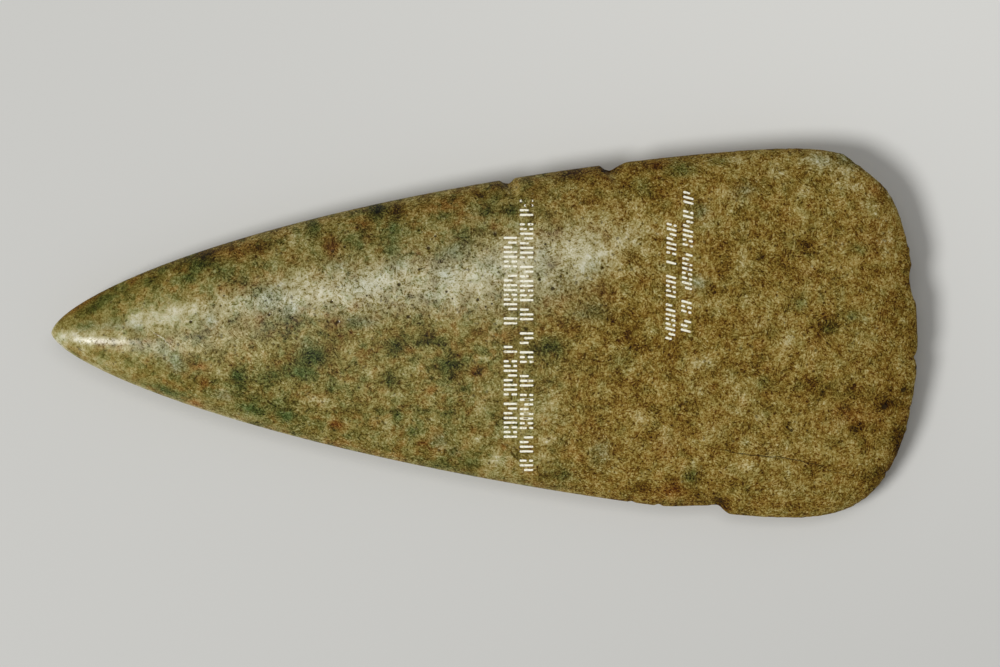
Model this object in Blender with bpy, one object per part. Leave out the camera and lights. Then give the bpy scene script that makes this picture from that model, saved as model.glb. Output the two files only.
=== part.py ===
"""Polished stone axe head, one solid, lying on its broad face.

Metres, +Z up. +X runs from the pointed butt to the cutting edge, +Y to the side that is
uppermost in the photograph. The origin is under the middle of the outline, on the table.
"""

import math

import bmesh
import bpy

# Driving dimensions
LENGTH = 0.210            # butt to cutting edge
UPPER_WIDTH = 0.0501      # reach of the +Y side's curve from the axis
LOWER_WIDTH = 0.0435      # reach of the -Y side's curve from the axis
AXIS_DRIFT = 0.0041       # how far the axis runs toward -Y over the length
RIDGE_HEIGHT = 0.0112     # ridge above the middle plane, the same below
EDGE_ANGLE = 18.0         # degrees, each face of the cutting edge to the middle plane
EDGE_NOSE = 0.0004        # radius of the worn cutting edge
FLAT_DEPTH = 0.00024      # how much is ground off the belly, so that it lies still
ROLL_SLOPE = 0.045        # the stone lies rolled toward its -Y side
CORNER_DROOP = 0.0022     # the cutting edge's -Y corner bends down by this
DROOP_ACROSS = 1.5        # powers of the bend's growth toward the -Y side
DROOP_ALONG = 8           # and toward the cutting edge

# Curve of the sides: full at the butt, straight in the middle, turned in at the edge
SIDE_FULLNESS = 1.6
SIDE_POWER = 0.668
NOSE_SWELL = 0.08         # the butt's end is blunter than the curve, by this share
NOSE_REACH = 0.02         # and over this share of the length
UPPER_CORNER = (26.0, 0.52)   # how late and how sharply the +Y side turns in
LOWER_CORNER = (22.6, 0.59)   # the same for the -Y side

# Profile of the ridge from butt to edge
THICKEST_AT = 0.56        # share of the length
BUTT_FULLNESS = 2.2
BUTT_POWER = 0.56
BLADE_THINNING = 0.60     # share of the thickness lost between the thickest place and the edge
BLADE_POWER = 2.2

# Cross-section
BUTT_SECTION = 2.0        # 2 is a lens, more is a flatter face with rounder sides
BLADE_SECTION = 3.4
SECTION_CHANGE = (0.45, 0.95)   # shares of the length between which one becomes the other
SECTION_POWER = 0.70
CREST_SHARPNESS = 0.20    # share of the section that falls straight from the ridge
CREST_ROUNDING = 0.03
CREST_SHIFT = 0.07        # the upper face's ridge lies this share of the half width toward +Y
CREST_START = (0.2, 0.3)  # shares of the length between which the crest grows
CREST_END = (0.5, 0.62)   # and between which it fades
BEVEL_BLEND = 3           # the ground faces meet the body softly, more is a crisper line

# Where the outline turns from side into butt and into cutting edge, as shares of the length
BUTT_TURN = 0.008
EDGE_TURN = 0.944
BUTT_INSET = 0.0016       # the share of the length whose thickness the butt's end starts from

# Losses along the outline: start and end as shares of the length, depth, how late in the
# stretch the loss is deepest (0.5 is an even scoop), and how pointed it is there
UPPER_LOSSES = (
    (0.517, 0.536, 0.0009, 0.5, 1.4),
    (0.632, 0.664, 0.0012, 0.35, 1.4),
    (0.912, 0.972, 0.0014, 0.5, 1.4),
)
LOWER_LOSSES = (
    (0.690, 0.786, 0.0016, 0.83, 2.4),
)
EDGE_LOSSES = (
    (0.0118, 0.0010, 0.0046),   # along +Y from the middle, depth, half length
    (-0.0060, 0.0005, 0.0020),
)

# Mesh
SPANS_ALONG = 86
SPANS_ACROSS = 22
OUTLINE_STEPS = 1200
RIM_SHARE = 0.99999       # a grid place beyond this share of the half width is on the rim
MERGE_DISTANCE = 1e-6
SHARP_ANGLE = 50.0        # degrees


def side_reach(share, width, corner):
    """Distance from the axis to the side, at a share of the length."""
    lateness, sharpness = corner
    curve = (1 - (1 - share) ** SIDE_FULLNESS) ** SIDE_POWER
    turn_in = (1 - share ** lateness) ** sharpness
    swell = 1 + NOSE_SWELL * math.exp(-share / NOSE_REACH)
    return width * curve * turn_in * swell


def scoop(share, start, end, lateness, pointedness):
    """Depth of a loss, 0 to 1, at a share of the length."""
    if not start < share < end:
        return 0.0
    place = (share - start) / (end - start)
    nearer = min(place / lateness, (1 - place) / (1 - lateness))
    return math.sin(0.5 * math.pi * nearer) ** pointedness


def side_point(share, side):
    """A point of the outline in plan, on the +Y side (1) or the -Y side (-1)."""
    width, corner, losses = (
        (UPPER_WIDTH, UPPER_CORNER, UPPER_LOSSES)
        if side > 0
        else (LOWER_WIDTH, LOWER_CORNER, LOWER_LOSSES)
    )
    reach = side_reach(share, width, corner)
    for start, end, depth, lateness, pointedness in losses:
        reach -= depth * scoop(share, start, end, lateness, pointedness)
    along = LENGTH * share
    across = -AXIS_DRIFT * share + side * max(reach, 0.0)
    if share > EDGE_TURN:
        for place, depth, half in EDGE_LOSSES:
            along -= depth * max(0.0, 1 - ((across - place) / half) ** 2)
    return along, across


def side_curve(side):
    """The whole side from butt to edge, its points crowded toward both ends."""
    points = []
    for step in range(OUTLINE_STEPS + 1):
        share = 0.5 - 0.5 * math.cos(math.pi * step / OUTLINE_STEPS)
        points.append((share, *side_point(share, side)))
    return points


class Stretch:
    """A piece of the outline that is read by its share of its own length."""

    def __init__(self, points):
        self.points = points
        self.lengths = [0.0]
        for a, b in zip(points, points[1:]):
            self.lengths.append(self.lengths[-1] + math.dist(a, b))

    def at(self, share):
        wanted = share * self.lengths[-1]
        low, high = 0, len(self.points) - 1
        while high - low > 1:
            middle = (low + high) // 2
            if self.lengths[middle] <= wanted:
                low = middle
            else:
                high = middle
        step = self.lengths[high] - self.lengths[low]
        part = (wanted - self.lengths[low]) / step if step else 0.0
        (x0, y0), (x1, y1) = self.points[low], self.points[high]
        return x0 + (x1 - x0) * part, y0 + (y1 - y0) * part


def outline_stretches():
    """The two sides, the butt and the cutting edge. The last two run from -Y to +Y."""
    parts = {}
    for side in (1, -1):
        curve = side_curve(side)
        parts[side, "butt"] = [p[1:] for p in curve if p[0] <= BUTT_TURN]
        parts[side, "side"] = [p[1:] for p in curve if BUTT_TURN <= p[0] <= EDGE_TURN]
        parts[side, "edge"] = [p[1:] for p in curve if p[0] >= EDGE_TURN]
        parts[side, "side"].insert(0, parts[side, "butt"][-1])
        parts[side, "side"].append(parts[side, "edge"][0])
    butt = parts[-1, "butt"][::-1] + parts[1, "butt"][1:]
    edge = parts[-1, "edge"] + parts[1, "edge"][-2::-1]
    return Stretch(parts[1, "side"]), Stretch(parts[-1, "side"]), Stretch(butt), Stretch(edge)


def plan_point(along, across, stretches):
    """A place in plan from two shares: butt to edge, and -Y side to +Y side."""
    upper, lower, butt, edge = stretches
    up, low = upper.at(along), lower.at(along)
    back, front = butt.at(across), edge.at(across)
    corners = (butt.at(0), butt.at(1), edge.at(0), edge.at(1))
    point = []
    for i in (0, 1):
        ruled = (1 - across) * low[i] + across * up[i] + (1 - along) * back[i] + along * front[i]
        twice = (1 - along) * ((1 - across) * corners[0][i] + across * corners[1][i])
        twice += along * ((1 - across) * corners[2][i] + across * corners[3][i])
        point.append(ruled - twice)
    return point


def smooth_step(limits, value):
    """0 below the lower limit, 1 above the upper one, and an even curve between them."""
    low, high = limits
    part = min(max((value - low) / (high - low), 0.0), 1.0)
    return part * part * (3 - 2 * part)


def half_thickness(share, across):
    """Height of a face above the middle plane. across is -1 at one side and 1 at the other."""
    if share <= 0 or share >= 1 or abs(across) >= 1:
        return 0.0
    if share < THICKEST_AT:
        left = 1 - share / THICKEST_AT
        ridge = (1 - left ** BUTT_FULLNESS) ** BUTT_POWER
    else:
        past = (share - THICKEST_AT) / (1 - THICKEST_AT)
        ridge = 1 - BLADE_THINNING * past ** BLADE_POWER
    crest = CREST_SHARPNESS * smooth_step(CREST_START, share) * (1 - smooth_step(CREST_END, share))
    flatness = smooth_step(SECTION_CHANGE, share)
    power = BUTT_SECTION + (BLADE_SECTION - BUTT_SECTION) * flatness
    soft = math.hypot(across, CREST_ROUNDING) - CREST_ROUNDING
    soft /= math.hypot(1, CREST_ROUNDING) - CREST_ROUNDING
    fall = crest * soft + (1 - crest) * abs(across) ** power
    body = RIDGE_HEIGHT * ridge * max(1 - fall, 0.0) ** SECTION_POWER
    # the two ground faces of the cutting edge, meeting in a small round nose
    slope = math.tan(math.radians(EDGE_ANGLE))
    back = LENGTH * (1 - share)
    nose = EDGE_NOSE / slope ** 2
    bevel = slope * math.sqrt(back * (back + 2 * nose))
    if body <= 0 or bevel <= 0:
        return 0.0
    return (body ** -BEVEL_BLEND + bevel ** -BEVEL_BLEND) ** (-1 / BEVEL_BLEND)


def middle_height(across_metres, share, across):
    """Height of the middle plane, which is rolled, and drops at one corner of the edge."""
    droop = CORNER_DROOP * max(-across, 0.0) ** DROOP_ACROSS * share ** DROOP_ALONG
    return ROLL_SLOPE * across_metres - droop


def add_face_sheet(bm, stretches, facing):
    """One broad face (1 is the top, -1 the underside), shaped from a flat grid."""
    grid = bmesh.ops.create_grid(bm, x_segments=SPANS_ALONG, y_segments=SPANS_ACROSS, size=1)
    for vertex in grid["verts"]:
        along = 0.5 + 0.5 * math.sin(0.5 * math.pi * vertex.co.x)
        across = math.sin(0.5 * math.pi * vertex.co.y)
        x, y = plan_point(along, 0.5 + 0.5 * across, stretches)
        on_rim = max(abs(vertex.co.x), abs(vertex.co.y)) > RIM_SHARE
        share = BUTT_INSET + (1 - BUTT_INSET) * along
        shift = CREST_SHIFT * (1 - across ** 2) if facing > 0 else 0.0
        height = 0.0 if on_rim else half_thickness(share, across - shift)
        vertex.co = (x, y, middle_height(y, along, across) + facing * height)
    if facing < 0:
        faces = list({face for vertex in grid["verts"] for face in vertex.link_faces})
        bmesh.ops.reverse_faces(bm, faces=faces)


def grind_flat(bm):
    """Sets the stone down and grinds its lowest place flat."""
    lowest = min(vertex.co.z for vertex in bm.verts)
    bmesh.ops.translate(bm, verts=bm.verts, vec=(0, 0, -lowest - FLAT_DEPTH))
    cut = bmesh.ops.bisect_plane(
        bm,
        geom=bm.verts[:] + bm.edges[:] + bm.faces[:],
        dist=MERGE_DISTANCE,
        plane_co=(0, 0, 0),
        plane_no=(0, 0, -1),
        clear_outer=True,
    )
    rim = [edge for edge in cut["geom_cut"] if isinstance(edge, bmesh.types.BMEdge)]
    bmesh.ops.edgeloop_fill(bm, edges=rim)


def centre_in_plan(bm):
    for axis in (0, 1):
        places = [vertex.co[axis] for vertex in bm.verts]
        middle = 0.5 * (min(places) + max(places))
        shift = [0.0, 0.0, 0.0]
        shift[axis] = -middle
        bmesh.ops.translate(bm, verts=bm.verts, vec=shift)


def stone_material():
    """Weathered jadeite: olive brown with a dull polish."""
    material = bpy.data.materials.new("weathered jadeite")
    material.use_nodes = True
    shader = material.node_tree.nodes["Principled BSDF"]
    shader.inputs["Base Color"].default_value = (0.20, 0.155, 0.065, 1)
    shader.inputs["Roughness"].default_value = 0.45
    shader.inputs["Metallic"].default_value = 0.0
    return material


def build_axe_head():
    stretches = outline_stretches()
    bm = bmesh.new()
    add_face_sheet(bm, stretches, 1)
    add_face_sheet(bm, stretches, -1)
    bmesh.ops.remove_doubles(bm, verts=bm.verts, dist=MERGE_DISTANCE)
    grind_flat(bm)
    centre_in_plan(bm)
    mesh = bpy.data.meshes.new("axe_head")
    bm.to_mesh(mesh)
    bm.free()
    mesh.shade_smooth()
    mesh.set_sharp_from_angle(angle=math.radians(SHARP_ANGLE))
    mesh.materials.append(stone_material())
    axe_head = bpy.data.objects.new("axe_head", mesh)
    bpy.context.scene.collection.objects.link(axe_head)


for old in list(bpy.data.objects):
    bpy.data.objects.remove(old)
build_axe_head()
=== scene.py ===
# Jadeite axe head on a pale table: the stone, its painted strokes, the light and the camera.
# Metres. +X runs from the butt to the cutting edge, +Y is up in the photograph and +Z is up off the table.
import math

import bmesh
import bpy
import numpy as np
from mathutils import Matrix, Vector, noise
from mathutils.bvhtree import BVHTree
from mathutils.kdtree import KDTree


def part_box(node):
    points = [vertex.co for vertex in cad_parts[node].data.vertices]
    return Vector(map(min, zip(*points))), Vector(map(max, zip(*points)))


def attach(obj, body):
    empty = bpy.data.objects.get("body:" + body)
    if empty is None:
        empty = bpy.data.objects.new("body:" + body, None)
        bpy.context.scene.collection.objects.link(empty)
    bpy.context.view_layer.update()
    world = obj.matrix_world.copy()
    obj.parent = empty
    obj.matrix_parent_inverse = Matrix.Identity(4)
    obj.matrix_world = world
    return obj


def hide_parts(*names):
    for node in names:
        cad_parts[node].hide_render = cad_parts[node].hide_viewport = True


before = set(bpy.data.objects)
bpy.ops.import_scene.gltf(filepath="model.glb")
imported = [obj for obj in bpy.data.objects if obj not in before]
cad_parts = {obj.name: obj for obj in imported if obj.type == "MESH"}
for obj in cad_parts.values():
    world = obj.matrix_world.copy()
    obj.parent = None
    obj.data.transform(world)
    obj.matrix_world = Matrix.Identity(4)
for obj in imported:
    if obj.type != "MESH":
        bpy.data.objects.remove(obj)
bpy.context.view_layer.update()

# Places on the stone are given by their pixel in the photograph, which is 1000 by 667.
photo = {
    "metresPerPixel": 0.210 / 867,
    "stoneCentre": (484.5, 333.5),
    "pictureCentre": (500.0, 333.5),
    "width": 1000,
}
mm = 0.001
sharpAngle = math.radians(60)


def fromPhoto(px, py):
    scale = photo["metresPerPixel"]
    return (px - photo["stoneCentre"][0]) * scale, (photo["stoneCentre"][1] - py) * scale


def seenAs(red, green, blue, light=1.0):
    # a colour picked from the photograph, made linear, and divided by the light on it
    parts = []
    for value in (red, green, blue):
        share = value / 255
        parts.append((share / 12.92 if share <= 0.04045 else ((share + 0.055) / 1.055) ** 2.4) / light)
    return (*parts, 1.0)


def smoothStep(low, high, value):
    part = np.clip((value - low) / (high - low), 0, 1)
    return part * part * (3 - 2 * part)


# The stone's shape, by the same curves as its CAD solid
shape = {
    "length": 0.210,
    "upperWidth": 0.0501,
    "lowerWidth": 0.0435,
    "axisDrift": 0.0041,
    "ridgeHeight": 0.0112,
    "edgeAngle": 18.0,
    "edgeNose": 0.0004,
    "flatDepth": 0.00024,
    "rollSlope": 0.045,
    "cornerDroop": 0.0022,
    "droopPowers": (1.5, 8),
    "sideFullness": 1.6,
    "sidePower": 0.668,
    "noseSwell": 0.08,
    "noseReach": 0.02,
    "upperCorner": (26.0, 0.52),
    "lowerCorner": (22.6, 0.59),
    "thickestAt": 0.56,
    "buttProfile": (2.2, 0.56),
    "bladeProfile": (0.60, 2.2),
    "buttSection": 2.0,
    "bladeSection": 3.4,
    "sectionChange": (0.45, 0.95),
    "sectionPower": 0.70,
    "crestSharpness": 0.20,
    "crestRounding": 0.03,
    "crestShift": 0.07,
    "tipShift": (-0.36, 0.32),      # how much farther the other way at the tip, and where that ends
    "crestStart": (0.2, 0.3),
    "crestEnd": (0.5, 0.62),
    "bevelBlend": 3,
    "buttTurn": 0.008,
    "edgeTurn": 0.944,
    "buttInset": 0.0016,
    # start and end as shares of the length, depth, how late it is deepest, how pointed it is
    "upperLosses": (
        (0.517, 0.536, 0.0009, 0.5, 1.4),
        (0.632, 0.664, 0.0012, 0.35, 1.4),
        (0.912, 0.972, 0.0014, 0.5, 1.4),
    ),
    "lowerLosses": ((0.690, 0.786, 0.0016, 0.83, 2.4),),
    # place along +Y, depth, half length
    "edgeLosses": ((0.0118, 0.0010, 0.0046), (-0.0060, 0.0005, 0.0020)),
    "outlineSteps": 3000,
}


def sidePoints(side):
    upper = side > 0
    width = shape["upperWidth"] if upper else shape["lowerWidth"]
    lateness, sharpness = shape["upperCorner"] if upper else shape["lowerCorner"]
    share = 0.5 - 0.5 * np.cos(np.linspace(0, math.pi, shape["outlineSteps"] + 1))
    reach = width * (1 - (1 - share) ** shape["sideFullness"]) ** shape["sidePower"]
    reach *= np.maximum(1 - share ** lateness, 0) ** sharpness
    reach *= 1 + shape["noseSwell"] * np.exp(-share / shape["noseReach"])
    for start, end, depth, late, pointed in shape["upperLosses"] if upper else shape["lowerLosses"]:
        place = np.clip((share - start) / (end - start), 0, 1)
        nearer = np.minimum(place / late, (1 - place) / (1 - late))
        reach -= depth * np.sin(0.5 * math.pi * nearer) ** pointed
    along = shape["length"] * share
    across = -shape["axisDrift"] * share + side * np.maximum(reach, 0)
    for place, depth, half in shape["edgeLosses"]:
        dent = depth * np.maximum(1 - ((across - place) / half) ** 2, 0)
        along = along - np.where(share > shape["edgeTurn"], dent, 0)
    return share, np.stack([along, across], 1)


def makeOutline():
    # four stretches, each with its points and how far along it they are
    stretches, sides = {}, {}
    for side, name in ((1, "upper"), (-1, "lower")):
        share, points = sidePoints(side)
        isButt, isEdge = share <= shape["buttTurn"], share >= shape["edgeTurn"]
        isSide = (share >= shape["buttTurn"]) & (share <= shape["edgeTurn"])
        butt, edge = points[isButt], points[isEdge]
        sides[name] = butt, edge
        stretches[name] = np.concatenate([butt[-1:], points[isSide], edge[:1]])
    stretches["butt"] = np.concatenate([sides["lower"][0][::-1], sides["upper"][0][1:]])
    stretches["edge"] = np.concatenate([sides["lower"][1], sides["upper"][1][-2::-1]])
    whole = np.concatenate(list(stretches.values()))
    middle = 0.5 * (whole.min(0) + whole.max(0))
    measured = {}
    for name, points in stretches.items():
        steps = np.linalg.norm(np.diff(points, axis=0), axis=1)
        walked = np.concatenate([[0], np.cumsum(steps)])
        measured[name] = walked / walked[-1], points - middle
    return measured, middle


def onStretch(name, share):
    walked, points = outline[name]
    return np.stack([np.interp(share, walked, points[:, i]) for i in (0, 1)], 1)


def planOf(along, across):
    # a place in plan from two shares, 0 to 1: butt to edge, and lower side to upper side
    along, across = np.atleast_1d(along)[:, None], np.atleast_1d(across)[:, None]
    point = (1 - across) * onStretch("lower", along[:, 0]) + across * onStretch("upper", along[:, 0])
    point += (1 - along) * onStretch("butt", across[:, 0]) + along * onStretch("edge", across[:, 0])
    ends = [onStretch(name, np.array([end])) for name in ("butt", "edge") for end in (0, 1)]
    point -= (1 - along) * ((1 - across) * ends[0] + across * ends[1])
    point -= along * ((1 - across) * ends[2] + across * ends[3])
    return point


def halfThickness(share, across):
    # height of a face above the middle plane; across runs from -1 to 1
    across = np.abs(across)
    left = np.clip(1 - share / shape["thickestAt"], 0, 1)
    past = np.clip((share - shape["thickestAt"]) / (1 - shape["thickestAt"]), 0, 1)
    fullness, power = shape["buttProfile"]
    thinning, thinningPower = shape["bladeProfile"]
    ridge = (1 - left ** fullness) ** power - thinning * past ** thinningPower
    crest = shape["crestSharpness"] * smoothStep(*shape["crestStart"], share)
    crest = crest * (1 - smoothStep(*shape["crestEnd"], share))
    change = smoothStep(*shape["sectionChange"], share)
    section = shape["buttSection"] + (shape["bladeSection"] - shape["buttSection"]) * change
    rounding = shape["crestRounding"]
    soft = (np.hypot(across, rounding) - rounding) / (math.hypot(1, rounding) - rounding)
    fall = crest * soft + (1 - crest) * across ** section
    body = shape["ridgeHeight"] * ridge * np.maximum(1 - fall, 0) ** shape["sectionPower"]
    slope = math.tan(math.radians(shape["edgeAngle"]))
    back = np.maximum(shape["length"] * (1 - share), 0)
    nose = shape["edgeNose"] / slope ** 2
    bevel = slope * np.sqrt(back * (back + 2 * nose))
    blend = shape["bevelBlend"]
    body, bevel = np.maximum(body, 1e-9), np.maximum(bevel, 1e-9)
    return (body ** -blend + bevel ** -blend) ** (-1 / blend)


outline, planMiddle = makeOutline()
rimPoints = np.concatenate([
    outline["upper"][1], outline["edge"][1][::-1], outline["lower"][1][::-1], outline["butt"][1],
])
rimTree = KDTree(len(rimPoints))
for index, point in enumerate(rimPoints):
    rimTree.insert((*point, 0), index)
rimTree.balance()
print("outline made,", len(rimPoints), "points")

# Chips, pits and cracks that are finer than the CAD solid
relief = {
    # bites out of the rim: place, half length and depth in pixels, then how deep the face sinks there
    "nicks": (
        (507, 183, 9, 1.0, 0.25 * mm),
        (608, 168, 10, 1.5, 0.5 * mm),
        (632, 503, 5, 1.2, 0.2 * mm),
        (659, 506, 5, 1.8, 0.3 * mm),
        (716, 506, 9, 1.5, 0.5 * mm),
        (857, 160, 8, 1.0, 0.3 * mm),
        (882, 191, 5, 2.6, 0.2 * mm),
        (911, 249, 6, -1.6, 0.0),
        (916, 357, 4, 1.6, 0.15 * mm),
        (910, 408, 6, 1.4, 0.2 * mm),
        (908, 431, 5, -1.2, 0.0),
        (889, 474, 4, 1.2, 0.1 * mm),
    ),
    "nickReach": 1.6 * mm,
    "rimStep": 6,                           # points to each side that give the rim's direction
    # flake scars on the upper face: place, half length and half width in pixels, turn, depth
    "scars": (
        (612, 170, 15, 6, 8, 0.30 * mm),
        (657, 168, 5, 3, -50, 0.20 * mm),
        (722, 505, 15, 8, -30, 0.45 * mm),
        (690, 504, 32, 4, 0, 0.20 * mm),
        (846, 160, 20, 9, -28, 0.35 * mm),
        (893, 404, 16, 7, 10, 0.16 * mm),
        (899, 440, 11, 14, 0, 0.12 * mm),
        (908, 275, 6, 15, 0, 0.14 * mm),
    ),
    "scarEdge": (1.2 * mm, 0.3),            # size and amount of the unevenness of their outlines
    # pits: place in pixels, radius, depth in millimetres
    "pits": (
        (193, 322, 0.50, 0.16), (268, 301, 0.30, 0.10), (271, 315, 0.45, 0.14), (333, 302, 0.50, 0.18),
        (339, 322, 0.55, 0.16), (409, 317, 0.60, 0.20), (368, 296, 0.35, 0.12), (400, 285, 0.55, 0.16),
        (420, 270, 0.45, 0.12), (429, 249, 0.60, 0.20), (436, 237, 0.40, 0.14), (334, 252, 0.50, 0.12),
        (482, 197, 0.50, 0.18), (495, 235, 0.55, 0.20), (478, 300, 0.50, 0.20), (486, 307, 0.35, 0.14),
        (492, 304, 0.35, 0.16), (539, 280, 0.50, 0.16), (552, 289, 0.60, 0.18), (560, 277, 0.45, 0.14),
        (545, 245, 0.40, 0.12), (226, 296, 0.30, 0.10), (223, 306, 0.30, 0.10),
        (447, 292, 0.40, 0.12), (453, 299, 0.30, 0.10), (413, 305, 0.30, 0.10), (346, 247, 0.35, 0.12),
        (806, 430, 0.35, 0.10), (790, 430, 0.50, 0.10),
        (917, 368, 0.50, 0.20), (903, 390, 0.80, 0.16), (884, 407, 0.90, 0.18),
    ),
    # cracks: points in pixels, width and depth
    "cracks": (
        (((690, 441), (705, 445), (724, 450), (751, 455), (778, 457), (798, 460), (817, 465), (834, 472),
          (848, 475), (861, 477)), 0.16 * mm, 0.16 * mm),
        (((766, 478), (781, 468), (792, 464), (800, 461)), 0.14 * mm, 0.10 * mm),
        (((148, 328), (157, 334), (165, 340), (172, 347)), 0.14 * mm, 0.05 * mm),
    ),
    "crackStep": 0.25 * mm,
    "crackWander": (2.5 * mm, 0.35 * mm),
    "crackEnds": (0.04, 0.4),               # share left off, and the power
    "undulation": (18 * mm, 0.05 * mm),     # size and height of the hand-ground unevenness
    "bladeGrain": (1.6 * mm, 0.035 * mm),   # the same for the blade's weathered surface
    "bladeStart": (-0.005, 0.035),
    "buttGrainShare": 0.15,
    "rimGrain": (1.5 * mm, 0.10 * mm),      # and for the rim in plan
    "rimGrainStart": (0.045, 0.085),
    "buttRimShare": 0.25,
    "rimKept": 0.5 * mm,                    # the faces stay smooth nearer to the rim than this
    "upperSpans": (330, 130),
    "undersideSpans": (160, 64),
    "crowdAlong": 0.45,
    "crowdAcross": 0.62,
    "rimBand": 1.1 * mm,                    # the mesh is finer within this of the rim
    "fineReach": 1.3 * mm,                  # and twice finer within this of a pit or crack
    "uvMargin": 0.005,
    # for the finish, starts and ends along X of what changes between the butt and the blade
    "borderWidth": 4.2 * mm,
    "borderEnd": (0.010, 0.060),
    "lightLineWidth": 0.35 * mm,
    "lightLineEnd": (-0.060, -0.035),
    "polishEnd": (0.006, 0.040),
    "polishFall": 4 * mm,
    "polishShares": (0.35, 0.2, 0.5),       # below the ridge, in the border and underneath
    "tipDull": (-0.100, -0.050),
    "tipStreak": ((74, 338, 18, 7, 0), (100, 340, 44, 3.5, -3)),
}


def crackPoints():
    size, sway = relief["crackWander"]
    end, power = relief["crackEnds"]
    for points, width, depth in relief["cracks"]:
        places = np.array([fromPhoto(*point) for point in points])
        steps = np.linalg.norm(np.diff(places, axis=0), axis=1)
        walked = np.concatenate([[0], np.cumsum(steps)])
        wanted = np.arange(0, walked[-1], relief["crackStep"])
        line = np.stack([np.interp(wanted, walked, places[:, i]) for i in (0, 1)], 1)
        line[:, 1] += [noise.noise(Vector((x, y, 0)) / size) * sway for x, y in line]
        for share, place in zip(np.linspace(end, 1 - end, len(line)), line):
            fade = math.sin(math.pi * share) ** power
            yield place, width, depth * fade


cracks = list(crackPoints())
pits = [(fromPhoto(px, py), radius * mm, depth * mm) for px, py, radius, depth in relief["pits"]]
fineTree = KDTree(len(cracks) + len(pits))
for index, place in enumerate([crack[0] for crack in cracks] + [pit[0] for pit in pits]):
    fineTree.insert((*place, 0), index)
fineTree.balance()


def nearest(tree, places):
    # the index of the tree's nearest point to each place, and how far it is
    found = [tree.find((x, y, 0)) for x, y in places]
    return np.array([hit[1] for hit in found]), np.array([hit[2] for hit in found])


def crowded(value, amount):
    return (1 - amount) * value + amount * np.sin(0.5 * math.pi * value)


def planOfGrid(places):
    along = 0.5 + 0.5 * crowded(places[:, 0], relief["crowdAlong"])
    across = 0.5 + 0.5 * crowded(places[:, 1], relief["crowdAcross"])
    return along, across, planOf(along, across)


def halve(bm, wanted):
    middles = np.array([(edge.verts[0].co + edge.verts[1].co) / 2 for edge in bm.edges])
    chosen = wanted(planOfGrid(middles)[2], np.array([edge.is_boundary for edge in bm.edges]))
    edges = [edge for edge, isChosen in zip(bm.edges, chosen) if isChosen]
    bmesh.ops.subdivide_edges(bm, edges=edges, cuts=1, use_grid_fill=True)


def makeSheet(facing):
    # one broad face, as a flat grid from -1 to 1 that is made finer where it needs to be, then shaped
    bm = bmesh.new()
    bm.loops.layers.uv.new("OFBake")
    upper = bm.verts.layers.float.new("upper")
    spans = relief["upperSpans"] if facing > 0 else relief["undersideSpans"]
    bmesh.ops.create_grid(bm, x_segments=spans[0], y_segments=spans[1], size=1, calc_uvs=True)
    if facing > 0:
        halve(bm, lambda places, onRim: (nearest(rimTree, places)[1] < relief["rimBand"]) | onRim
              | (nearest(fineTree, places)[1] < 2 * relief["fineReach"]))
        halve(bm, lambda places, onRim: (nearest(fineTree, places)[1] < relief["fineReach"]) & ~onRim)
    else:
        rim = [edge for edge in bm.edges if edge.is_boundary]
        bmesh.ops.subdivide_edges(bm, edges=rim, cuts=3)
    # the upper face takes the upper half of the UV square, and the underside the lower half
    uv, margin = bm.loops.layers.uv.active, relief["uvMargin"]
    for face in bm.faces:
        for loop in face.loops:
            x, y = loop[uv].uv
            start = 0.5 * (facing > 0)
            loop[uv].uv = (margin + (1 - 2 * margin) * x, start + margin + (0.5 - 2 * margin) * y)
    places = np.array([vertex.co for vertex in bm.verts])
    along, across, plan = planOfGrid(places)
    share = shape["buttInset"] + (1 - shape["buttInset"]) * along
    sideways = 2 * across - 1
    onRim = np.abs(places).max(1) > 1 - 1e-5
    tipShift, tipShiftEnd = shape["tipShift"]
    shift = shape["crestShift"] + tipShift * (1 - smoothStep(0, tipShiftEnd, share))
    shift = shift * (1 - sideways ** 2) if facing > 0 else 0
    height = np.where(onRim, 0, halfThickness(share, sideways - shift))
    bend = shape["cornerDroop"] * np.maximum(-sideways, 0) ** shape["droopPowers"][0]
    middle = shape["rollSlope"] * (plan[:, 1] + planMiddle[1]) - bend * along ** shape["droopPowers"][1]
    for vertex, (x, y), z in zip(bm.verts, plan, middle + facing * height):
        vertex.co = (x, y, z)
        vertex[upper] = 1.0 if facing > 0 else 0.0
    if facing < 0:
        bmesh.ops.reverse_faces(bm, faces=bm.faces)
    sheet = bpy.data.meshes.new("sheet")
    bm.to_mesh(sheet)
    bm.free()
    return sheet


def softNoise(places, size, octaves, seed):
    spots = [Vector((x / size + seed, y / size, seed)) for x, y in places[:, :2]]
    return np.array([noise.fractal(spot, 1.0, 2.0, octaves) for spot in spots])


def inEllipse(places, spot):
    # 0 at the middle of a turned ellipse and 1 on its rim
    px, py, half, halfWide, turn = spot
    away = places[:, :2] - fromPhoto(px, py)
    c, s = math.cos(math.radians(turn)), math.sin(math.radians(turn))
    long = (away[:, 0] * c + away[:, 1] * s) / (half * photo["metresPerPixel"])
    wide = (away[:, 1] * c - away[:, 0] * s) / (halfWide * photo["metresPerPixel"])
    return np.hypot(long, wide)


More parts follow.
